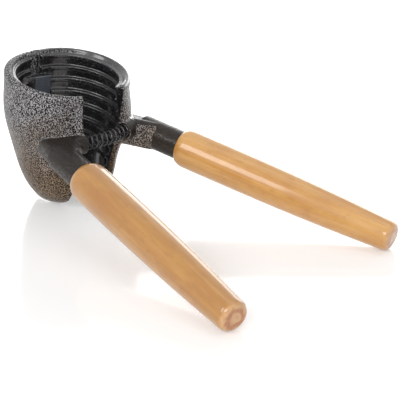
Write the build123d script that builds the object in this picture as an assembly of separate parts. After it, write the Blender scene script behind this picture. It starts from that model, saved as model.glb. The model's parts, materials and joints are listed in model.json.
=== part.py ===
from build123d import *
import math
import os

# Plier-type nutcracker: two half cups with ribs inside, hinged on a pin that stands
# parallel to the cup axis, squeezed by two wooden grips and opened by a spring.
#
# Each jaw is modelled closed: the cup axis is Z with the bottom of the cup at zero, the
# grips point to +X, and the body of the jaw lies on +Y. The front jaw is then mirrored.
# Both jaws are opened about the pin, and the whole is tilted until the cup and the tips
# of the grips rest on the ground. Millimetres and degrees.

# Cup. Each station: share of the height, reach to the hinge, reach to the grips, half depth.
CUP_HEIGHT = 65.0
CUP_STATIONS = [
    (0.000, 9.4, 13.8, 9.8),
    (0.040, 12.0, 18.8, 11.8),
    (0.115, 16.4, 24.1, 15.2),
    (0.250, 21.6, 26.3, 18.6),
    (0.500, 26.7, 28.2, 23.5),
    (0.750, 28.9, 30.0, 26.9),
    (1.000, 29.6, 30.5, 28.5),
]
CUP_WALL = 4.2
RIM_ROUND = 2.4
AXIS_SHIFT = 2.1
JAW_FACE = 1.2

# Ribs round the inside of the cup, counted down from the rim.
RIB_TOP = 61.6
RIB_PITCH = 6.3
RIB_WIDTH = 2.1
RIB_HEIGHT = 1.5
RIB_COUNT = 8

# Hinge.
PIN_X = -34.5
PIN_DIAMETER = 4.0
PIN_HEAD_DIAMETER = 6.6
PIN_HEAD_HEIGHT = 1.3
PIN_TOP = 57.0
PIN_SEAT_CLEARANCE = 0.01
PIN_RUNNING_CLEARANCE = 0.05
KNUCKLE_RADIUS = 4.4
KNUCKLE_LOW = 22.0
KNUCKLE_TOP = 64.2
KNUCKLE_SLOPE = 38.0
WEB_INNER_X = -18.0
WEB_FOOT = 12.0
LUG_LOW = 37.3
LUG_HIGH = 52.5
LUG_FACE_X = -23.0
LUG_OUTER_X = -30.5
LUG_REACH = 10.1
LUG_ROOT = 5.4
LUG_GAP = 0.3
SLOT_CLEARANCE = 2.6
GUARD_OUTER_X = -26.2
GUARD_INNER_X = -16.0
GUARD_THICKNESS = 1.4
GUARD_ROOT = 4.8
GUARD_LOW = 33.5
GUARD_HIGH = 54.5

# Arm, ferrule and tang. The root is a wedge whose top slopes down to the side.
ARM_HEIGHT = 14.4
ARM_AXIS_Y = 14.3
ARM_AXIS_Z = 39.2
ARM_ROOT_X = 14.0
ARM_ROOT_TOP = [(-3.0, 47.6), (18.4, 42.2)]
ARM_ROOT_UNDER = [(17.6, 32.6), (-3.0, 32.0)]
ARM_ROOT_ROUND = 3.5
FERRULE_X = 44.0
FLARE_X = 32.3
FLARE_ANGLE = 48.0
FERRULE_END = 55.4
TANG_DIAMETER = 8.0
TANG_LENGTH = 40.0
TANG_CLEARANCE = 0.05

# Grip.
GRIP_LENGTH = 116.1
GRIP_START_RADIUS = 7.9
GRIP_RADIUS = 9.6
GRIP_TIP_RADIUS = 7.0
GRIP_SHOULDER = 4.5
GRIP_FULL_LENGTH = 62.0
GRIP_END_ROUND = 2.6

# Return spring and its sockets.
SPRING_X = 29.8
SPRING_Z = 41.8
SPRING_DIAMETER = 7.0
SPRING_WIRE = 0.85
SPRING_TURNS = 13
SPRING_END_GAP = 0.3
SOCKET_CLEARANCE = 0.4
SOCKET_DEPTH = 5.6
SOCKET_WALL = 1.1
SOCKET_LIP = 0.7

# How the tool lies: each jaw is opened by this angle from the closed position.
OPEN_ANGLE = 10.8

PIN_RADIUS = PIN_DIAMETER / 2
KNUCKLE_HIGH = LUG_HIGH + LUG_GAP
SLOT_END = LUG_REACH + SLOT_CLEARANCE
SPRING_REACH = SPRING_X - PIN_X
SOCKET_RADIUS = SPRING_DIAMETER / 2 + SOCKET_CLEARANCE
SOCKET_FLOOR = JAW_FACE + SOCKET_DEPTH
ARM_RADIUS = ARM_HEIGHT / 2
NECK_ROUND = 0.99 * ARM_RADIUS
BEYOND = 4 * CUP_HEIGHT


def block(x_range, y_range, z_range):
    """Box between two corners."""
    ranges = (x_range, y_range, z_range)
    size = [high - low for low, high in ranges]
    centre = [(high + low) / 2 for low, high in ranges]
    return Pos(*centre) * Box(*size)


def upright(x, radius, low, high):
    """Cylinder standing along Z on the hinge line."""
    return Pos(x, 0, (low + high) / 2) * Cylinder(radius, high - low)


def across(radius, near, far):
    """Cylinder lying along Y on the line of the spring."""
    return Pos(SPRING_X, (near + far) / 2, SPRING_Z) * Rot(90, 0, 0) * Cylinder(radius, far - near)


def along(radius, near, far):
    """Cylinder lying along X on the line of the grip."""
    return Pos((near + far) / 2, ARM_AXIS_Y, ARM_AXIS_Z) * Rot(0, 90, 0) * Cylinder(radius, far - near)


def upright_prism(points, low, high):
    """Outline in the plan, extruded from low to high."""
    return extrude(Plane.XY.offset(low) * make_face(Polyline(*points, close=True)), high - low)


def side_prism(points, near, far):
    """Outline of x and z, extruded along Y."""
    outline = Polyline(*[(x, near, z) for x, z in points], close=True)
    return extrude(make_face(outline), far - near, dir=(0, 1, 0))


def cup_section(station, inset):
    """Oval cross-section of the cup, drawn in by the inset."""
    share, to_hinge, to_grip, depth = station
    oval = Ellipse((to_hinge + to_grip) / 2 - inset, depth - inset)
    return Pos((to_grip - to_hinge) / 2, -AXIS_SHIFT, share * CUP_HEIGHT) * oval


def cup_form(inset):
    """Closed form of the cup, lofted through its stations."""
    return loft([cup_section(station, inset) for station in CUP_STATIONS])


def cup_outside():
    """Outer form of the cup with its rounded rim."""
    form = cup_form(0)
    rim = form.edges().group_by(Axis.Z)[-1]
    return fillet(rim, RIM_ROUND)


def rib_grooves():
    """Slabs of the height of the grooves between the ribs."""
    slabs = []
    high = CUP_HEIGHT + RIB_PITCH
    for index in range(RIB_COUNT):
        crest = RIB_TOP - index * RIB_PITCH
        slabs.append(block((-BEYOND, BEYOND), (-BEYOND, BEYOND), (crest + RIB_WIDTH / 2, high)))
        high = crest - RIB_WIDTH / 2
    return slabs


def cup_cavity():
    """What is hollow in the cup: the bore inside the ribs and the grooves between them."""
    crests = cup_form(CUP_WALL + RIB_HEIGHT)
    grooves = cup_form(CUP_WALL)
    return crests + [grooves & slab for slab in rib_grooves()]


def arm_section(x, corners, rounding):
    """Cross-section of the arm at a place along it: corners of y and z, rounded."""
    outline = make_face(Polyline(*corners, close=True))
    rounded = fillet(outline.vertices(), rounding)
    return Plane(origin=(x, 0, 0), x_dir=(0, 1, 0), z_dir=(1, 0, 0)) * rounded


def arm():
    """Wedge from the cup to the round ferrule, cut by the flared inner face."""
    near = ARM_AXIS_Y - ARM_RADIUS
    far = ARM_AXIS_Y + ARM_RADIUS
    low = ARM_AXIS_Z - ARM_RADIUS
    high = ARM_AXIS_Z + ARM_RADIUS
    root = arm_section(ARM_ROOT_X, ARM_ROOT_TOP + ARM_ROOT_UNDER, ARM_ROOT_ROUND)
    neck = arm_section(FERRULE_X, [(near, high), (far, high), (far, low), (near, low)], NECK_ROUND)
    body = loft([root, neck]) & block((-BEYOND, BEYOND), (JAW_FACE, BEYOND), (-BEYOND, BEYOND))
    rise = BEYOND * math.tan(math.radians(FLARE_ANGLE))
    flare = [
        (FLARE_X, JAW_FACE),
        (FLARE_X + BEYOND, JAW_FACE + rise),
        (FLARE_X + BEYOND, -BEYOND),
        (FLARE_X, -BEYOND),
    ]
    body -= upright_prism(flare, 0, CUP_HEIGHT)
    return body + along(ARM_RADIUS, FLARE_X, FERRULE_END)


def socket_boss():
    """Raised ring round the spring socket."""
    return across(SOCKET_RADIUS + SOCKET_WALL, JAW_FACE - SOCKET_LIP, SOCKET_FLOOR)


def half_cup():
    """One half of the cup with its arm, spring socket and tang, without its hinge."""
    half = cup_outside() & block((-BEYOND, BEYOND), (JAW_FACE, BEYOND), (-BEYOND, BEYOND))
    jaw = half + arm() + socket_boss()
    jaw -= cup_cavity()
    jaw -= across(SOCKET_RADIUS, JAW_FACE - SOCKET_LIP - 1, SOCKET_FLOOR)
    return jaw + along(TANG_DIAMETER / 2, FERRULE_END - 1, FERRULE_END + TANG_LENGTH)


def knuckles():
    """Upper and lower knuckle of the rear jaw with the webs that carry them."""
    wall_x = -CUP_STATIONS[-1][1] + CUP_WALL
    slope = math.tan(math.radians(KNUCKLE_SLOPE))
    outer_x = PIN_X - KNUCKLE_RADIUS
    outer_z = KNUCKLE_TOP - slope * (-CUP_STATIONS[-1][1] - outer_x)
    upper = upright(PIN_X, KNUCKLE_RADIUS, KNUCKLE_HIGH, KNUCKLE_TOP)
    upper += block((PIN_X, wall_x), (0, KNUCKLE_RADIUS), (KNUCKLE_HIGH, KNUCKLE_TOP))
    wedge = [
        (-CUP_STATIONS[-1][1], KNUCKLE_TOP),
        (outer_x, outer_z),
        (outer_x, KNUCKLE_TOP + 1),
        (-CUP_STATIONS[-1][1], KNUCKLE_TOP + 1),
    ]
    upper -= side_prism(wedge, -KNUCKLE_RADIUS - 1, KNUCKLE_RADIUS + 1)
    lower = upright(PIN_X, KNUCKLE_RADIUS, KNUCKLE_LOW, LUG_LOW - LUG_GAP)
    web = [
        (PIN_X, LUG_LOW - LUG_GAP),
        (WEB_INNER_X, LUG_LOW - LUG_GAP),
        (WEB_INNER_X, WEB_FOOT),
        (PIN_X + KNUCKLE_RADIUS, KNUCKLE_LOW),
        (PIN_X, KNUCKLE_LOW),
    ]
    lower += side_prism(web, 0, KNUCKLE_RADIUS)
    return upper, lower


def lug():
    """Hinge lug of the front jaw, which reaches past the split into the slot of the rear jaw."""
    outline = [
        (LUG_FACE_X, LUG_ROOT),
        (LUG_FACE_X, -LUG_REACH),
        (LUG_OUTER_X, -LUG_REACH),
        (PIN_X - KNUCKLE_RADIUS * 0.2, -KNUCKLE_RADIUS * 0.9),
        (PIN_X, KNUCKLE_RADIUS),
        (LUG_OUTER_X, LUG_ROOT),
    ]
    return upright_prism(outline, LUG_LOW, LUG_HIGH) + upright(PIN_X, KNUCKLE_RADIUS, LUG_LOW, LUG_HIGH)


def slot_guard():
    """Upright fin outside the cup that closes the far end of the slot."""
    outline = [
        (GUARD_INNER_X, SLOT_END),
        (GUARD_OUTER_X, SLOT_END),
        (GUARD_OUTER_X + GUARD_THICKNESS / 2, SLOT_END + GUARD_THICKNESS),
        (GUARD_INNER_X, SLOT_END + GUARD_ROOT),
    ]
    return upright_prism(outline, GUARD_LOW, GUARD_HIGH)


def rear_jaw():
    """Jaw with the two knuckles and the slot for the lug."""
    upper, lower = knuckles()
    hinge = upper + lower + slot_guard()
    jaw = half_cup() + (hinge - cup_cavity())
    slot = block((-BEYOND, -CUP_WALL), (0, SLOT_END), (LUG_LOW - LUG_GAP, KNUCKLE_HIGH))
    jaw -= slot
    return jaw - upright(PIN_X, PIN_RADIUS + PIN_SEAT_CLEARANCE, 0, PIN_TOP)


def front_jaw():
    """Jaw with the lug, mirrored to its own side."""
    jaw = half_cup() + lug()
    relief = upright(PIN_X, KNUCKLE_RADIUS + LUG_GAP, KNUCKLE_HIGH - LUG_GAP, CUP_HEIGHT + 1)
    jaw -= relief
    jaw -= upright(PIN_X, KNUCKLE_RADIUS + LUG_GAP, 0, LUG_LOW)
    jaw -= upright(PIN_X, PIN_RADIUS + PIN_RUNNING_CLEARANCE, 0, CUP_HEIGHT)
    return mirror(jaw, about=Plane.XZ)


def hinge_pin():
    """Pin driven up from below, with a domed head under the lower knuckle."""
    shaft = upright(PIN_X, PIN_RADIUS, KNUCKLE_LOW, PIN_TOP)
    head = upright(PIN_X, PIN_HEAD_DIAMETER / 2, KNUCKLE_LOW - PIN_HEAD_HEIGHT, KNUCKLE_LOW)
    rim = head.edges().group_by(Axis.Z)[0]
    return fillet(rim, PIN_HEAD_HEIGHT * 0.8) + shaft


def grip():
    """Turned grip: a rounded shoulder, a full first third, a taper and a flat rounded tip."""
    end = GRIP_LENGTH
    tip = end - GRIP_END_ROUND
    flat = GRIP_TIP_RADIUS - GRIP_END_ROUND
    shoulder = Bezier(
        (0, GRIP_START_RADIUS),
        (0, (GRIP_START_RADIUS + GRIP_RADIUS) / 2),
        (GRIP_SHOULDER / 2, GRIP_RADIUS),
        (GRIP_SHOULDER, GRIP_RADIUS),
    )
    side = Bezier(
        (GRIP_SHOULDER, GRIP_RADIUS),
        (GRIP_FULL_LENGTH, GRIP_RADIUS),
        ((GRIP_FULL_LENGTH + tip) / 2, (GRIP_RADIUS + GRIP_TIP_RADIUS) / 2),
        (tip, GRIP_TIP_RADIUS),
    )
    rounding = TangentArc((tip, GRIP_TIP_RADIUS), (end, flat), tangent=side % 1)
    close = Polyline((end, flat), (end, 0), (0, 0), (0, GRIP_START_RADIUS))
    body = revolve(make_face([shoulder, side, rounding, close]), Axis.X)
    body = Pos(FERRULE_END, ARM_AXIS_Y, ARM_AXIS_Z) * body
    return body - along(TANG_DIAMETER / 2 + TANG_CLEARANCE, FERRULE_END - 1, FERRULE_END + TANG_LENGTH + 1)


def spring_frame(turn):
    """Point and direction of the spring wire after so many turns from the front end."""
    mean = (SPRING_DIAMETER - SPRING_WIRE) / 2
    half = math.radians(OPEN_ANGLE) + (SOCKET_FLOOR - SPRING_END_GAP - SPRING_WIRE / 2) / SPRING_REACH
    sweep = 2 * half / SPRING_TURNS
    angle = turn * sweep - half
    roll = 2 * math.pi * turn
    radial = Vector(math.cos(angle), math.sin(angle), 0)
    reach = SPRING_REACH + mean * math.cos(roll)
    point = radial * reach + Vector(0, 0, mean * math.sin(roll))
    speed = Vector(-math.sin(angle), math.cos(angle), 0) * (reach * sweep)
    speed += radial * (-2 * math.pi * mean * math.sin(roll))
    speed += Vector(0, 0, 2 * math.pi * mean * math.cos(roll))
    return point + Vector(PIN_X, 0, SPRING_Z), speed.normalized()


def biarc(start, start_dir, end, end_dir):
    """Two arcs that join two points along the given directions."""
    chord = end - start
    both = start_dir + end_dir
    lean = 2 * (1 - start_dir.dot(end_dir))
    along_both = chord.dot(both)
    reach = (math.sqrt(along_both**2 + lean * chord.dot(chord)) - along_both) / lean
    middle = (start + start_dir * reach + end - end_dir * reach) * 0.5
    first = TangentArc(start, middle, tangent=start_dir)
    second = TangentArc(middle, end, tangent=first % 1)
    return [first, second]


def return_spring():
    """One wire wound about an arc that stands square in both sockets."""
    steps = 2 * SPRING_TURNS
    frames = [spring_frame(step / 2) for step in range(steps + 1)]
    path = []
    for (start, start_dir), (end, end_dir) in zip(frames, frames[1:]):
        path += biarc(start, start_dir, end, end_dir)
    wire = Wire(path)
    start, start_dir = frames[0]
    section = Plane(origin=start, z_dir=start_dir) * Circle(SPRING_WIRE / 2)
    return sweep(section, path=wire)


def spring_self_gap():
    """Least gap between neighbouring turns, measured on points of the wire."""
    samples = 24
    points = [spring_frame(step / samples)[0] for step in range(samples * SPRING_TURNS + 1)]
    least = min(
        (points[a] - points[b]).length
        for a in range(len(points))
        for b in range(a + samples // 2, min(a + 2 * samples, len(points)))
    )
    return least - SPRING_WIRE


def opened(shape, side):
    """Shape of the closed jaw turned about the pin: side +1 is rear, -1 is front."""
    return Pos(PIN_X, 0, 0) * Rot(0, 0, side * OPEN_ANGLE) * Pos(-PIN_X, 0, 0) * shape


def lowest(shape, tilt):
    """Height of the lowest point of a shape after a tilt about Y."""
    return (Rot(0, tilt, 0) * shape).bounding_box().min.Z


def resting_tilt(jaw, handle):
    """Tilt at which the jaw and the tip of its grip touch the ground together."""
    flat = 0.0
    steep = 30.0
    for _ in range(14):
        middle = (flat + steep) / 2
        if lowest(handle, middle) > lowest(jaw, middle):
            flat = middle
        else:
            steep = middle
    return (flat + steep) / 2


def build():
    """All pieces where they lie at rest."""
    jaw_rear = opened(rear_jaw(), 1)
    jaw_front = opened(front_jaw(), -1)
    handle_rear = opened(grip(), 1)
    handle_front = opened(mirror(grip(), about=Plane.XZ), -1)
    pieces = {
        "jaw_rear": jaw_rear,
        "jaw_front": jaw_front,
        "hinge_pin": hinge_pin(),
        "return_spring": return_spring(),
        "handle_rear": handle_rear,
        "handle_front": handle_front,
    }
    tilt = resting_tilt(jaw_rear, handle_rear)
    tilted = {name: Rot(0, tilt, 0) * piece for name, piece in pieces.items()}
    boxes = [piece.bounding_box() for piece in tilted.values()]
    middle_x = (min(box.min.X for box in boxes) + max(box.max.X for box in boxes)) / 2
    middle_y = (min(box.min.Y for box in boxes) + max(box.max.Y for box in boxes)) / 2
    ground = min(box.min.Z for box in boxes)
    place = Pos(-middle_x, -middle_y, -ground)
    axis = place * Rot(0, tilt, 0) * Pos(PIN_X, 0, LUG_LOW)
    print("tilt", round(tilt, 4), "pin", axis.position, "least gap of the spring", round(spring_self_gap(), 3))
    return {name: place * piece for name, piece in tilted.items()}


os.makedirs("parts", exist_ok=True)
for name, piece in build().items():
    export_step(piece, f"parts/{name}.step")
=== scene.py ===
import json
import math

import bmesh
import bpy
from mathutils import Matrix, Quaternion, Vector


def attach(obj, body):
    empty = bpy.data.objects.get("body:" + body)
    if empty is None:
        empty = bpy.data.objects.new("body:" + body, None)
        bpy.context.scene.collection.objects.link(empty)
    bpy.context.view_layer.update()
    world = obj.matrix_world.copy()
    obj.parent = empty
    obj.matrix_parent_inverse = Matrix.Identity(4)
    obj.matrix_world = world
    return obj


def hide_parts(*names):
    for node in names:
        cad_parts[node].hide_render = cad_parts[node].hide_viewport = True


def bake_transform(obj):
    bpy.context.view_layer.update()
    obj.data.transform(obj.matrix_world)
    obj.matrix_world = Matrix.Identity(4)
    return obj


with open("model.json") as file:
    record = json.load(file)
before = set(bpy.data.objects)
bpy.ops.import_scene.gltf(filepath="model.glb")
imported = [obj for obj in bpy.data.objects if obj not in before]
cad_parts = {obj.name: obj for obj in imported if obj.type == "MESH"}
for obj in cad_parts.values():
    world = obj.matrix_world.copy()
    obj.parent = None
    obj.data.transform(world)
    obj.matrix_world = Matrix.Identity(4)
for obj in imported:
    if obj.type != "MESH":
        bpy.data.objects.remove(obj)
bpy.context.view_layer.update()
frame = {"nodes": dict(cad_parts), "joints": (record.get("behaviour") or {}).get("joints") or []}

# Places are in metres. A point of a jaw is given as it lies when the jaws are closed: x from the
# cup axis to the grips, y from the split to the side, z up from the foot of the cup.
MM = 0.001
PIN_X = -34.5 * MM
PIN_HEIGHT = 37.3 * MM
OPEN_ANGLE = math.radians(10.8)
REAR, FRONT = 1, -1

GRIP_AXIS_Y = 14.3 * MM
GRIP_AXIS_Z = 39.2 * MM
GRIP_START_X = 56.6 * MM
GRIP_LENGTH = 114.85 * MM
GRIP_START_RADIUS = 7.9 * MM
GRIP_RADIUS = 9.6 * MM
GRIP_TIP_RADIUS = 7.0 * MM
GRIP_SHOULDER = 4.5 * MM
GRIP_FULL_LENGTH = 62.0 * MM
GRIP_END_ROUND = 2.6 * MM
GRIP_BORE_RADIUS = 4.05 * MM
GRIP_BORE_DEPTH = 39.8 * MM
FERRULE_END_X = 55.4 * MM
FERRULE_RADIUS = 7.2 * MM
FERRULE_OVERLAP = 3.0 * MM

CUP_AXIS_Y = -2.1 * MM
CUP_HEIGHT = 65.0 * MM
# Each station, in millimetres: height, reach to the hinge, reach to the grips, half depth.
CUP_STATIONS = [
    (0.0, 9.4, 13.8, 9.8),
    (2.6, 12.0, 18.8, 11.8),
    (7.5, 16.4, 24.1, 15.2),
    (16.2, 21.6, 26.3, 18.6),
    (32.5, 26.7, 28.2, 23.5),
    (48.8, 28.9, 30.0, 26.9),
    (65.0, 29.6, 30.5, 28.5),
]
CUP_WALL = 4.2 * MM
RIB_TOP = 61.6 * MM
RIB_PITCH = 6.3 * MM
RIB_WIDTH = 2.1 * MM
RIB_HEIGHT = 1.5 * MM
LIP_LOW = 36.6 * MM
LIP_HIGH = 53.2 * MM
LIP_START = 6.1 * MM
LIP_END = 13.4 * MM
LIP_THINNEST = 1.0 * MM
LIP_SHARES = (0, 0.2, 0.4, 0.6, 0.8, 1)
LIP_STEPS = 48
LUG_SWEEP = 15.7 * MM
CAST_GRAIN = 0.4 * MM
CAST_ROUNDING = 5

# Where one enamel of a casting gives way to the next. A SHARE is a distance from the cup axis, 1 on
# the outside of the cup. FACES says how squarely a face looks a way: 1 straight at it, -1 straight back.
RIM_DEPTH = 2.0 * MM
MID_WALL = 3.0 * MM
LUG_INNER_X = -15.0 * MM
LUG_PAST_SPLIT = -1.0 * MM
ARM_LOW = 30.5 * MM
ARM_HIGH = 47.5 * MM
ARM_CREASE = 41.0 * MM
ARM_ROUND_X = 43.0 * MM
CREASE_SHARE = 1.035
ARM_SHARE = 1.06
FACES_OUT = 0.35
FACES_IN = -0.2
FACES_UP = 0.3
FACES_SPLIT = -0.5

SPRING_X = 29.8 * MM
SPRING_Z = 41.8 * MM
SPRING_RADIUS = 3.075 * MM
SPRING_WIRE = 0.85 * MM
SPRING_TURNS = 13
SPRING_END_DEPTH = 6.075 * MM
SPRING_REACH = SPRING_X - PIN_X
SPRING_HALF_SWEEP = OPEN_ANGLE + SPRING_END_DEPTH / SPRING_REACH
SPRING_HELD_BEYOND = 1.13

pivot = frame["joints"][0]
pin_axis = Vector(pivot["axis"]).normalized()
pin_point = Vector(pivot["pos_m"])
to_grips = Vector((pin_axis.z, 0, -pin_axis.x))
to_rear = Vector((0, 1, 0))


def about_pin(reach, angle, height):
    """Point at a distance and an angle from the hinge pin, in the frame of the whole tool."""
    flat = to_grips * (reach * math.cos(angle)) + to_rear * (reach * math.sin(angle))
    return pin_point + flat + pin_axis * (height - PIN_HEIGHT)


def jaw_point(x, y, z, side):
    """Point of the closed jaw, where the opened jaw has it."""
    reach = math.hypot(x - PIN_X, y)
    angle = math.atan2(side * y, x - PIN_X) + side * OPEN_ANGLE
    return about_pin(reach, angle, z)


# ---------------------------------------------------------------- shader expressions


class Value:
    """A socket that takes part in arithmetic: each operation adds its node."""

    def __init__(self, graph, socket):
        self.graph = graph
        self.socket = socket

    def _math(self, operation, *terms):
        return self.graph.node("ShaderNodeMath", {"operation": operation}, dict(enumerate(terms)))

    def __add__(self, other):
        return self._math("ADD", self, other)

    __radd__ = __add__

    def __sub__(self, other):
        return self._math("SUBTRACT", self, other)

    def __rsub__(self, other):
        return self._math("SUBTRACT", other, self)

    def __mul__(self, other):
        return self._math("MULTIPLY", self, other)

    __rmul__ = __mul__

    def smooth(self, low, high):
        """0 below low, 1 above high, with a smooth step between."""
        settings = {"interpolation_type": "SMOOTHSTEP"}
        limits = {"Value": self, "From Min": low, "From Max": high}
        return self.graph.node("ShaderNodeMapRange", settings, limits)

    def clamp(self):
        return self.graph.node("ShaderNodeClamp", {}, {"Value": self})


class Graph:
    """The nodes of one material, or of the world."""

    def __init__(self, owner):
        self.owner = owner
        owner.use_nodes = True
        self.tree = owner.node_tree
        self.tree.nodes.clear()

    def node(self, kind, settings=None, inputs=None, output=0):
        """Adds a node: its settings first, then its sockets, linked or set to a constant."""
        made = self.tree.nodes.new(kind)
        for key, value in (settings or {}).items():
            setattr(made, key, value)
        for key, value in (inputs or {}).items():
            socket = made.inputs[key]
            if isinstance(value, Value):
                self.tree.links.new(value.socket, socket)
            else:
                socket.default_value = value
        return Value(self, made.outputs[output])

    def place(self):
        return self.node("ShaderNodeTexCoord", output="Object")

    def vector(self, operation, *terms, output=0):
        return self.node("ShaderNodeVectorMath", {"operation": operation}, dict(enumerate(terms)), output)

    def noise(self, where, scale, detail=2.0, roughness=0.5, distortion=0.0):
        """Cloudy pattern, its scale in patches to the metre."""
        inputs = {"Vector": where, "Scale": scale, "Detail": detail, "Roughness": roughness}
        inputs["Distortion"] = distortion
        return self.node("ShaderNodeTexNoise", {}, inputs)

    def mix(self, factor, low, high, blend="MIX"):
        settings = {"data_type": "RGBA", "blend_type": blend}
        low, high = [c if isinstance(c, Value) else (*c, 1) for c in (low, high)]
        return self.node("ShaderNodeMix", settings, {0: factor, 6: low, 7: high}, output=2)

    def bump(self, height, distance, strength=1.0):
        inputs = {"Height": height, "Distance": distance, "Strength": strength}
        return self.node("ShaderNodeBump", {}, inputs)

    def plainly_seen(self):
        """1 on the rays of the camera, of mirrors and of glass."""
        kinds = "Is Camera Ray", "Is Glossy Ray", "Is Transmission Ray"
        camera, glossy, clear = [self.node("ShaderNodeLightPath", output=kind) for kind in kinds]
        return (camera + glossy + clear).clamp()

    def finish(self, **inputs):
        """Ends the material in the one shader that the sockets go to."""
        named = {key.replace("_", " "): value for key, value in inputs.items()}
        shader = self.node("ShaderNodeBsdfPrincipled", {}, named)
        self.output(shader)
        return self.owner

    def output(self, shader):
        world = isinstance(self.owner, bpy.types.World)
        end = self.tree.nodes.new("ShaderNodeOutputWorld" if world else "ShaderNodeOutputMaterial")
        self.tree.links.new(shader.socket, end.inputs["Surface"])


# ---------------------------------------------------------------- finishes

ENAMEL_BLACK = (0.004, 0.004, 0.005)
# Light grey of the flecks: partly the hammered paint's own flecks, partly painted glints of the lamps.
FLECK_AND_GLINT_GREY = (0.47, 0.455, 0.465)
# Browns of painted warm bounce light on the lower outside of the cup.
PAINTED_BOUNCE_BROWN = (0.36, 0.245, 0.145)
PAINTED_BOUNCE_BROWN_DARK = (0.030, 0.020, 0.013)
# Blue-grey painted light for the face of the lug, which sits in shade.
PAINTED_LIGHT_LUG_BLUE = (0.085, 0.10, 0.125)
HAMMER_SCALE = 1750
HAMMER_DEPTH = 0.22 * MM
PAINTED_BOUNCE_BELOW = 18 * MM
BLACK_ABOVE = 68 * MM
PATCH_RISE = 12 * MM


def hammered_enamel(name, fleck_and_glint_share):
    """Outside of the castings: black enamel with small light flecks, partly the paint's own flecks and
    partly painted glints, browner towards the foot as painted warm bounce light.
    """
    g = Graph(bpy.data.materials.new(name))
    place = g.place()
    facet = g.noise(place, HAMMER_SCALE, roughness=0.6)
    fleck_and_glint = facet.smooth(0.47, 0.59)
    patch = g.noise(place, 90).smooth(0.3, 0.7)
    height = g.node("ShaderNodeSeparateXYZ", {}, {0: place}, output=2)
    # Painted warm bounce light, strongest at the foot and gone towards the rim.
    painted_bounce = (1 - (height + patch * PATCH_RISE).smooth(PAINTED_BOUNCE_BELOW, BLACK_ABOVE)) * 0.95
    light = g.mix(painted_bounce, FLECK_AND_GLINT_GREY, PAINTED_BOUNCE_BROWN)
    dark = g.mix(painted_bounce, ENAMEL_BLACK, PAINTED_BOUNCE_BROWN_DARK)
    # Light flecks over the dark ground: the paint's own flecks, brightened as painted glints.
    colour = g.mix(fleck_and_glint * (0.75 + patch * 0.25) * fleck_and_glint_share, dark, light)
    return g.finish(
        Base_Color=colour,
        Roughness=0.42 - fleck_and_glint * 0.16,
        Specular_IOR_Level=0.15,
        Coat_Weight=fleck_and_glint * 0.45,
        Coat_Roughness=0.16,
        Normal=g.bump(facet, HAMMER_DEPTH),
    )


def smooth_enamel_painted_shade_and_light(name, ground):
    """Smooth glossy enamel over the rough casting on a given ground, without the outside's light flecks:
    dark in the cup as painted shade of the hollow, lighter on the lug as painted light.
    """
    g = Graph(bpy.data.materials.new(name))
    place = g.place()
    lump = g.noise(place, 420, roughness=0.6)
    pit = g.noise(place, 1500, detail=1).smooth(0.6, 0.8)
    colour = g.mix(pit * 0.5, ground, FLECK_AND_GLINT_GREY)
    return g.finish(
        Base_Color=colour,
        Roughness=0.30 + pit * 0.2,
        Coat_Weight=1.0,
        Coat_Roughness=0.10,
        Normal=g.bump(lump * 0.8 + pit * 0.3, HAMMER_DEPTH),
    )


WOOD_PALE = (0.72, 0.385, 0.105)
WOOD_GOLD = (0.60, 0.285, 0.055)
WOOD_STREAK = (0.50, 0.205, 0.040)
WOOD_KNOT = (0.16, 0.055, 0.016)
WOOD_END = (0.50, 0.15, 0.035)
WOOD_END_PALE = (0.80, 0.47, 0.22)
END_RING_INSIDE = 2.2 * MM, 3.4 * MM
END_RING_OUTSIDE = 4.2 * MM, 5.2 * MM
END_RING_WANDER = 4 * MM
KNOT_RAGGED = 0.6 * MM
KNOT_HALO = 4


def grip_frame(side):
    """Start of a grip, the direction along it and one across it."""
    start = jaw_point(GRIP_START_X, GRIP_AXIS_Y, GRIP_AXIS_Z, side)
    ahead = (jaw_point(GRIP_START_X + 1, GRIP_AXIS_Y, GRIP_AXIS_Z, side) - start).normalized()
    return start, ahead, pin_axis.cross(ahead).normalized()


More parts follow.
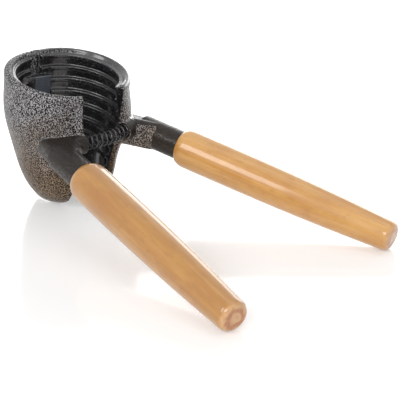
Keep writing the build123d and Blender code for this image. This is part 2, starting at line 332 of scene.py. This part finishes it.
def grip_wood(name, side, knots, seed, painted_shade_tone):
    """Pale turned hardwood under clear lacquer, grain along the grip, end grain at the tip."""
    g = Graph(bpy.data.materials.new(name))
    start, ahead, beside = grip_frame(side)
    local = g.vector("SUBTRACT", g.place(), tuple(start))
    u = g.vector("DOT_PRODUCT", local, tuple(ahead), output=1)
    v = g.vector("DOT_PRODUCT", local, tuple(beside), output=1)
    w = g.vector("DOT_PRODUCT", local, tuple(pin_axis), output=1)

    def drawn_out(share):
        """Place in the wood, so that a pattern runs longer along the grip than across it."""
        return g.node("ShaderNodeCombineXYZ", {}, {0: u * share + seed, 1: v, 2: w})

    wide = g.noise(drawn_out(0.07), 230, detail=3, distortion=0.8)
    fine = g.noise(drawn_out(0.07), 1300, detail=3)
    pore = g.noise(drawn_out(0.16), 2600, detail=1).smooth(0.62, 0.75)
    cloud = g.noise(drawn_out(0.4), 95, detail=3, roughness=0.6)
    fleck = g.noise(drawn_out(0.45), 420)
    colour = g.mix(wide.smooth(0.3, 0.7), WOOD_GOLD, WOOD_PALE)
    colour = g.mix(fine.smooth(0.5, 0.75) * 0.3, colour, WOOD_STREAK)
    colour = g.mix(cloud.smooth(0.45, 0.7) * 0.45, colour, WOOD_STREAK)
    colour = g.mix((1 - cloud.smooth(0.3, 0.5)) * 0.35, colour, WOOD_PALE)
    colour = g.mix(fleck.smooth(0.56, 0.72) * 0.35, colour, WOOD_STREAK)
    colour = g.mix(pore * 0.25, colour, WOOD_STREAK)
    for distance, angle, size in knots:
        aside = math.cos(angle) * GRIP_RADIUS
        above = math.sin(angle) * GRIP_RADIUS
        from_knot = {0: (u - distance) * 0.5, 1: v - aside, 2: w - above}
        flat = g.node("ShaderNodeCombineXYZ", {}, from_knot)
        away = g.vector("LENGTH", flat, output=1) + (fine - 0.5) * KNOT_RAGGED
        colour = g.mix((1 - away.smooth(size * 0.3, size)) * 0.85, colour, WOOD_KNOT)
        colour = g.mix((1 - away.smooth(size, size * KNOT_HALO)) * 0.35, colour, WOOD_STREAK)
    # The grip's colour times its painted-shade factor: the front grip darker than the rear as painted
    # shade.
    colour = g.mix(1.0, colour, painted_shade_tone, blend="MULTIPLY")
    tip = u.smooth(GRIP_LENGTH - 0.9 * GRIP_END_ROUND, GRIP_LENGTH - 0.1 * GRIP_END_ROUND)
    across = g.node("ShaderNodeCombineXYZ", {}, {0: 0.0, 1: v, 2: w})
    radius = g.vector("LENGTH", across, output=1) + (g.noise(across, 210) - 0.5) * END_RING_WANDER
    ring = radius.smooth(*END_RING_INSIDE) - radius.smooth(*END_RING_OUTSIDE)
    rough_end = g.noise(g.place(), 700, detail=3).smooth(0.35, 0.7)
    end_grain = g.mix(ring * 0.75 + rough_end * 0.3, WOOD_END_PALE, WOOD_END)
    colour = g.mix(tip * 0.85, colour, end_grain)
    return g.finish(
        Base_Color=colour,
        Roughness=0.4 + fine * 0.1,
        Coat_Weight=1.0,
        Coat_Roughness=0.10,
        Normal=g.bump(fine * 0.7 - pore * 0.5 + tip * rough_end * 4.0, 0.04 * MM, 0.6),
    )


def spring_steel():
    """Drawn steel wire, its colour painted near black all over as painted shade, darker still in
    blotches.
    """
    g = Graph(bpy.data.materials.new("spring_wire_steel"))
    place = g.place()
    blotch = g.noise(place, 900, detail=3)
    # Near-black steel colours as painted shade.
    colour = g.mix(blotch.smooth(0.4, 0.7), (0.10, 0.10, 0.105), (0.035, 0.033, 0.034))
    return g.finish(
        Base_Color=colour,
        Metallic=1.0,
        Roughness=0.16 + blotch * 0.16,
        Normal=g.bump(blotch, 0.02 * MM, 0.4),
    )


def pin_steel():
    """Plain steel with a scuffed surface."""
    g = Graph(bpy.data.materials.new("pin_steel"))
    place = g.place()
    scuff = g.noise(place, 1400, detail=4)
    colour = g.mix(scuff.smooth(0.35, 0.7), (0.34, 0.34, 0.35), (0.18, 0.18, 0.19))
    return g.finish(
        Base_Color=colour,
        Metallic=1.0,
        Roughness=0.3 + scuff * 0.25,
        Normal=g.bump(scuff, 0.03 * MM, 0.4),
    )


# ---------------------------------------------------------------- meshes


def add_piece(name, mesh, material):
    piece = bpy.data.objects.new(name, mesh)
    bpy.context.scene.collection.objects.link(piece)
    mesh.materials.append(material)
    return piece


def bezier(points, count):
    """Points of a cubic curve, its start left out."""
    made = []
    for step in range(1, count + 1):
        t = step / count
        weights = (1 - t) ** 3, 3 * t * (1 - t) ** 2, 3 * t * t * (1 - t), t**3
        made.append(tuple(sum(w * point[i] for w, point in zip(weights, points)) for i in (0, 1)))
    return made


def grip_profile():
    """Outline of the turned grip: distance from its start and radius, from bore to tip."""
    tip = GRIP_LENGTH - GRIP_END_ROUND
    flat = GRIP_TIP_RADIUS - GRIP_END_ROUND
    middle = (GRIP_RADIUS + GRIP_TIP_RADIUS) / 2
    profile = [(GRIP_BORE_DEPTH, 0), (GRIP_BORE_DEPTH, GRIP_BORE_RADIUS)]
    profile += [(0, GRIP_BORE_RADIUS), (0, GRIP_START_RADIUS)]
    shoulder = [
        (0, GRIP_START_RADIUS),
        (0, (GRIP_START_RADIUS + GRIP_RADIUS) / 2),
        (GRIP_SHOULDER / 2, GRIP_RADIUS),
        (GRIP_SHOULDER, GRIP_RADIUS),
    ]
    profile += bezier(shoulder, 10)
    side = [(GRIP_SHOULDER, GRIP_RADIUS), (GRIP_FULL_LENGTH, GRIP_RADIUS)]
    side += [((GRIP_FULL_LENGTH + tip) / 2, middle), (tip, GRIP_TIP_RADIUS)]
    profile += bezier(side, 40)
    round_off = [(tip, GRIP_TIP_RADIUS), (tip + GRIP_END_ROUND * 0.6, GRIP_TIP_RADIUS - 0.15 * MM)]
    round_off += [(GRIP_LENGTH, flat + GRIP_END_ROUND * 0.5), (GRIP_LENGTH, flat)]
    profile += bezier(round_off, 12)
    return profile + [(GRIP_LENGTH, 0)]


def turned_grip(name, side, material, node):
    """Lathe the profile round the axis of the grip."""
    start, ahead, beside = grip_frame(side)
    facets = 96
    mesh = bmesh.new()
    rings = []
    for distance, radius in grip_profile():
        centre = start + ahead * distance
        if radius == 0:
            rings.append([mesh.verts.new(centre)])
            continue
        ring = []
        for facet in range(facets):
            turn = 2 * math.pi * facet / facets
            outward = beside * math.cos(turn) + pin_axis * math.sin(turn)
            ring.append(mesh.verts.new(centre + outward * radius))
        rings.append(ring)
    for inner, outer in zip(rings, rings[1:]):
        for facet in range(facets):
            after = (facet + 1) % facets
            if len(inner) == 1:
                mesh.faces.new((inner[0], outer[after], outer[facet]))
            elif len(outer) == 1:
                mesh.faces.new((inner[facet], inner[after], outer[0]))
            else:
                mesh.faces.new((inner[facet], inner[after], outer[after], outer[facet]))
    bmesh.ops.recalc_face_normals(mesh, faces=mesh.faces)
    for face in mesh.faces:
        face.smooth = True
    data = bpy.data.meshes.new(name)
    mesh.to_mesh(data)
    mesh.free()
    piece = add_piece(name, data, material)
    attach(piece, "rear_half" if side == REAR else "front_half")
    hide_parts(node)
    return piece


def wire_point(turn):
    """Centre of the spring wire after so many turns: a coil about an arc round the hinge pin."""
    sweep = 2 * SPRING_HALF_SWEEP * turn / SPRING_TURNS - SPRING_HALF_SWEEP
    roll = 2 * math.pi * turn
    reach = SPRING_REACH + SPRING_RADIUS * math.cos(roll)
    return about_pin(reach, sweep, SPRING_Z + SPRING_RADIUS * math.sin(roll))


def wound_spring(material):
    """Round wire along the coil, closed at both ends."""
    per_turn, sides = 28, 12
    steps = SPRING_TURNS * per_turn
    path = [wire_point(step / per_turn) for step in range(steps + 1)]
    mesh = bmesh.new()
    rings = []
    for step, centre in enumerate(path):
        ahead = (path[min(step + 1, steps)] - path[max(step - 1, 0)]).normalized()
        angle = 2 * SPRING_HALF_SWEEP * step / steps - SPRING_HALF_SWEEP
        hub = about_pin(SPRING_REACH, angle, SPRING_Z)
        outward = (centre - hub).normalized()
        sideways = ahead.cross(outward).normalized()
        outward = sideways.cross(ahead)
        ring = []
        for corner in range(sides):
            turn = 2 * math.pi * corner / sides
            offset = (outward * math.cos(turn) + sideways * math.sin(turn)) * SPRING_WIRE / 2
            ring.append(mesh.verts.new(centre + offset))
        rings.append(ring)
    for near, far in zip(rings, rings[1:]):
        for corner in range(sides):
            after = (corner + 1) % sides
            mesh.faces.new((near[corner], near[after], far[after], far[corner])).smooth = True
    mesh.faces.new(reversed(rings[0]))
    mesh.faces.new(rings[-1])
    bmesh.ops.recalc_face_normals(mesh, faces=mesh.faces)
    data = bpy.data.meshes.new("coil_spring")
    mesh.to_mesh(data)
    mesh.free()
    piece = add_piece("coil_spring", data, material)
    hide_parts("return_spring")
    rear = about_pin(SPRING_REACH, SPRING_HALF_SWEEP * SPRING_HELD_BEYOND, SPRING_Z)
    front = about_pin(SPRING_REACH, -SPRING_HALF_SWEEP * SPRING_HELD_BEYOND, SPRING_Z)
    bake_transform(piece)
    return piece


def as_closed(point, side):
    """Place of a point of an opened jaw in the frame of the closed jaw."""
    from_pin = point - pin_point
    ahead, beside = from_pin.dot(to_grips), from_pin.dot(to_rear)
    reach = math.hypot(ahead, beside)
    angle = side * math.atan2(beside, ahead) - OPEN_ANGLE
    return PIN_X + reach * math.cos(angle), reach * math.sin(angle), from_pin.dot(pin_axis) + PIN_HEIGHT


def cup_oval(height):
    """Centre, half width and half depth of the cup at a height."""
    level = height / MM
    for low, high in zip(CUP_STATIONS, CUP_STATIONS[1:]):
        if level <= high[0] or high is CUP_STATIONS[-1]:
            share = min(1, max(0, (level - low[0]) / (high[0] - low[0])))
            reaches = [(near + (far - near) * share) * MM for near, far in zip(low[1:], high[1:])]
            hinge, grips, depth = reaches
            return (grips - hinge) / 2, (grips + hinge) / 2, depth


def beyond_the_wall(x, y, height, inset):
    """How far a place is outside the oval of the cup, drawn in by the inset: 1 is on it."""
    centre, width, depth = cup_oval(height)
    return math.hypot((x - centre) / (width - inset), (y - CUP_AXIS_Y) / (depth - inset))


def wall_x(y, height, inset):
    """Where the wall of the cup stands on the side of the hinge, at a distance from the split."""
    centre, width, depth = cup_oval(height)
    return centre - (width - inset) * math.sqrt(1 - ((y - CUP_AXIS_Y) / (depth - inset)) ** 2)


def slot_lip(side):
    """Ribbed end of the wall beside the lug, hollowed to the arc that the corner of the lug sweeps."""
    rings = []
    for step in range(LIP_STEPS + 1):
        height = LIP_LOW + (LIP_HIGH - LIP_LOW) * step / LIP_STEPS
        from_crest = abs((RIB_TOP - height + RIB_PITCH / 2) % RIB_PITCH - RIB_PITCH / 2)
        inset = CUP_WALL + (RIB_HEIGHT if from_crest < RIB_WIDTH / 2 else 0)
        inner, outer = [], []
        for share in LIP_SHARES:
            y = LIP_START + (LIP_END - LIP_START) * share
            swept = PIN_X + math.sqrt(LUG_SWEEP**2 - y**2)
            thinnest = wall_x(y, height, CUP_WALL) - LIP_THINNEST
            inner.append(jaw_point(wall_x(y, height, inset), y, height, side))
            outer.append(jaw_point(min(max(wall_x(y, height, 0), swept), thinnest), y, height, side))
        rings.append(inner + outer[::-1])
    return rings


def ferrule_end(side):
    """Last of the round ferrule, up to the wood."""
    facets = 60
    turns = [2 * math.pi * facet / facets for facet in range(facets)]
    rings = []
    for x in (FERRULE_END_X - FERRULE_OVERLAP, GRIP_START_X):
        rim = [(math.cos(turn) * FERRULE_RADIUS, math.sin(turn) * FERRULE_RADIUS) for turn in turns]
        rings.append([jaw_point(x, GRIP_AXIS_Y + y, GRIP_AXIS_Z + z, side) for y, z in rim])
    return rings


def add_solid(mesh, rings):
    """Join closed rings of points into one solid and add it to a mesh."""
    shape = bmesh.new()
    shape.from_mesh(mesh)
    made = [[shape.verts.new(point) for point in ring] for ring in rings]
    for near, far in zip(made, made[1:]):
        for corner in range(len(near)):
            after = (corner + 1) % len(near)
            shape.faces.new((near[corner], near[after], far[after], far[corner]))
    shape.faces.new(made[0][::-1])
    shape.faces.new(made[-1])
    bmesh.ops.recalc_face_normals(shape, faces=shape.faces)
    shape.to_mesh(mesh)
    shape.free()


OUTSIDE, BORE, ARM, LUG = range(4)


def finish_of(face, side):
    """Which of the four enamels a face of a casting has. The bore's, the arm's and the lug's paint shade
    and light.
    """
    x, y, height = as_closed(face.center, side)
    axis_point = jaw_point(0, CUP_AXIS_Y, height, side)
    facing = face.normal.dot((face.center - axis_point).normalized())
    below_rim = height < CUP_HEIGHT - RIM_DEPTH
    # The face of the lug takes a lighter blue-grey enamel: painted light on a face in shade.
    if side == FRONT and facing < FACES_IN and y < LUG_PAST_SPLIT and x < LUG_INNER_X:
        return LUG
    if side == REAR and not below_rim and face.normal.dot(pin_axis) > FACES_UP:
        return BORE
    # The inner half of the wall, its split faces included, takes the dark smooth enamel as painted shade
    # of the hollow and of the gap between the jaws.
    depth = MID_WALL if facing > FACES_IN else 0
    if facing < FACES_OUT and below_rim and beyond_the_wall(x, y, height, depth) < 1:
        return BORE
    if x > 0 and ARM_LOW < height < ARM_HIGH:
        off_the_cup = beyond_the_wall(x, y, height, 0)
        if off_the_cup > ARM_SHARE:
            inner_side = face.normal.dot(to_rear) * side < FACES_SPLIT
            # The arms take the darker copy as painted shade; the inner face of the rear arm keeps the
            # cup's flecked enamel, lighter as painted light.
            return OUTSIDE if side == REAR and inner_side and x < ARM_ROUND_X else ARM
        if off_the_cup > CREASE_SHARE and height > ARM_CREASE:
            return BORE
    return OUTSIDE


def cast_jaw(name, node, side, finishes):
    """Jaw as it comes from the mould: the edges of the CAD solid rounded over."""
    source = frame["nodes"][node]
    mesh = source.data.copy()
    mesh.transform(source.matrix_world)
    mesh.materials.clear()
    add_solid(mesh, ferrule_end(side))
    if side == REAR:
        add_solid(mesh, slot_lip(side))
    piece = add_piece(name, mesh, finishes[OUTSIDE])
    remesh = piece.modifiers.new("remesh", "REMESH")
    remesh.mode = "VOXEL"
    remesh.voxel_size = CAST_GRAIN
    smooth = piece.modifiers.new("smooth", "SMOOTH")
    smooth.factor = 0.5
    smooth.iterations = CAST_ROUNDING
    settled = bpy.data.meshes.new_from_object(piece.evaluated_get(bpy.context.evaluated_depsgraph_get()))
    piece.modifiers.clear()
    piece.data = settled
    for material in finishes[BORE:]:
        settled.materials.append(material)
    for face in settled.polygons:
        face.use_smooth = True
        face.material_index = finish_of(face, side)
    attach(piece, "rear_half" if side == REAR else "front_half")
    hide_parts(node)
    return piece


def repaint(node, material):
    """Give a CAD node its finish."""
    shown = frame["nodes"][node]
    shown.data.materials.clear()
    shown.data.materials.append(material)


enamels = [
    hammered_enamel("hammered_enamel_cup", 1.0),
    # Dark smooth enamel in the cup: painted shade of the hollow.
    smooth_enamel_painted_shade_and_light("smooth_enamel_painted_shade_and_light", ENAMEL_BLACK),
    # The arm's copy, nearly without light flecks: painted shade on the arms, which face away from the
    # lamps.
    hammered_enamel("hammered_enamel_arm_painted_shade", 0.06),
    # Blue-grey smooth enamel on the lug: painted light.
    smooth_enamel_painted_shade_and_light("lug_enamel_painted_light", PAINTED_LIGHT_LUG_BLUE),
]
cast_jaw("cast_rear", "jaw_rear", REAR, enamels)
cast_jaw("cast_front", "jaw_front", FRONT, enamels)
repaint("hinge_pin", pin_steel())

# Each knot: distance along the grip, angle round it, radius.
REAR_KNOTS = [(76 * MM, math.radians(-150), 0.9 * MM), (66 * MM, math.radians(160), 0.5 * MM)]
FRONT_KNOTS = [(50 * MM, math.radians(-120), 0.8 * MM)]
# Painted-shade factors: the front grip darkened as painted shade, the rear left as it is.
REAR_PAINTED_SHADE = (1.0, 1.0, 1.0)
FRONT_PAINTED_SHADE = (0.74, 0.67, 0.47)
REAR_GRAIN, FRONT_GRAIN = 0.0, 0.37
rear_wood = grip_wood("grip_wood_rear", REAR, REAR_KNOTS, REAR_GRAIN, REAR_PAINTED_SHADE)
front_wood = grip_wood("grip_wood_front", FRONT, FRONT_KNOTS, FRONT_GRAIN, FRONT_PAINTED_SHADE)
turned_grip("grip_rear", REAR, rear_wood, "handle_rear")
turned_grip("grip_front", FRONT, front_wood, "handle_front")
wound_spring(spring_steel())


# ---------------------------------------------------------------- studio


WORLD_LIGHT = 0.42
FLOOR_LIFT = 0.30
FLOOR_PAINT = {"Base Color": (0.82, 0.82, 0.82, 1), "Roughness": 0.12}
WHITE = (1, 1, 1, 1)
LAMPS_AIM = (0.0, 0.0, 0.03)
VIEW_TARGET = (0.0320, 0.0, 0.0218)
VIEW_AZIMUTH = math.radians(44.02)
VIEW_ELEVATION = math.radians(21.59)
VIEW_ROLL = math.radians(-0.76)
VIEW_DISTANCE = 0.50766
VIEW_LENS = 101.45


def white_floor():
    """Pale glossy table, seen lifted to white. Its shadows and reflections stay."""
    g = Graph(bpy.data.materials.new("white_table"))
    base = g.node("ShaderNodeBsdfPrincipled", {}, FLOOR_PAINT)
    lift = g.node("ShaderNodeEmission", {}, {"Color": WHITE, "Strength": FLOOR_LIFT})
    none = g.node("ShaderNodeEmission", {}, {"Strength": 0.0})
    extra = g.node("ShaderNodeMixShader", {}, {0: g.plainly_seen(), 1: none, 2: lift})
    g.output(g.node("ShaderNodeAddShader", {}, {0: base, 1: extra}))
    bpy.ops.mesh.primitive_grid_add(x_subdivisions=2, y_subdivisions=2, size=8, location=(0, 0, 0))
    floor = bpy.context.object
    floor.name = "table_top"
    floor.data.materials.append(g.owner)


def softbox(name, at, size, power):
    """White area light aimed at the tool."""
    lamp = bpy.data.lights.new(name, "AREA")
    lamp.shape = "RECTANGLE"
    lamp.size, lamp.size_y = size
    lamp.energy = power
    holder = bpy.data.objects.new(name, lamp)
    holder.location = at
    holder.rotation_euler = (Vector(LAMPS_AIM) - Vector(at)).to_track_quat("-Z", "Y").to_euler()
    bpy.context.scene.collection.objects.link(holder)


def studio_world():
    """Even light all round. The camera, mirrors and glass see it as plain white."""
    world = bpy.data.worlds.new("studio_white")
    bpy.context.scene.world = world
    g = Graph(world)
    lit = g.node("ShaderNodeBackground", {}, {"Color": WHITE, "Strength": WORLD_LIGHT})
    white = g.node("ShaderNodeBackground", {}, {"Color": WHITE, "Strength": 1.0})
    g.output(g.node("ShaderNodeMixShader", {}, {0: g.plainly_seen(), 1: lit, 2: white}))


white_floor()
studio_world()
softbox("softbox_key", (0.45, -0.66, 0.44), (0.42, 0.32), 2.8)
softbox("softbox_back", (-0.40, 0.85, 0.28), (1.3, 0.45), 5)
softbox("softbox_left", (-0.16, -0.74, 0.58), (0.34, 0.40), 2.2)
softbox("softbox_top", (0.10, 0.15, 1.1), (0.8, 0.8), 1.6)


def photo_camera():
    """The photograph's viewing angle: a long lens from the side of the grips, a little above."""
    back = Vector((
        math.sin(VIEW_AZIMUTH) * math.cos(VIEW_ELEVATION),
        -math.cos(VIEW_AZIMUTH) * math.cos(VIEW_ELEVATION),
        math.sin(VIEW_ELEVATION),
    ))
    camera = bpy.data.cameras.new("photo_camera")
    camera.lens = VIEW_LENS
    camera.sensor_width = 36
    holder = bpy.data.objects.new("photo_camera", camera)
    holder.location = Vector(VIEW_TARGET) + back * VIEW_DISTANCE
    holder.rotation_mode = "QUATERNION"
    level = (-back).to_track_quat("-Z", "Y")
    holder.rotation_quaternion = level @ Quaternion((0, 0, 1), VIEW_ROLL)
    bpy.context.scene.collection.objects.link(holder)
    bpy.context.scene.camera = holder


photo_camera()
bpy.context.scene.view_settings.view_transform = "Standard"
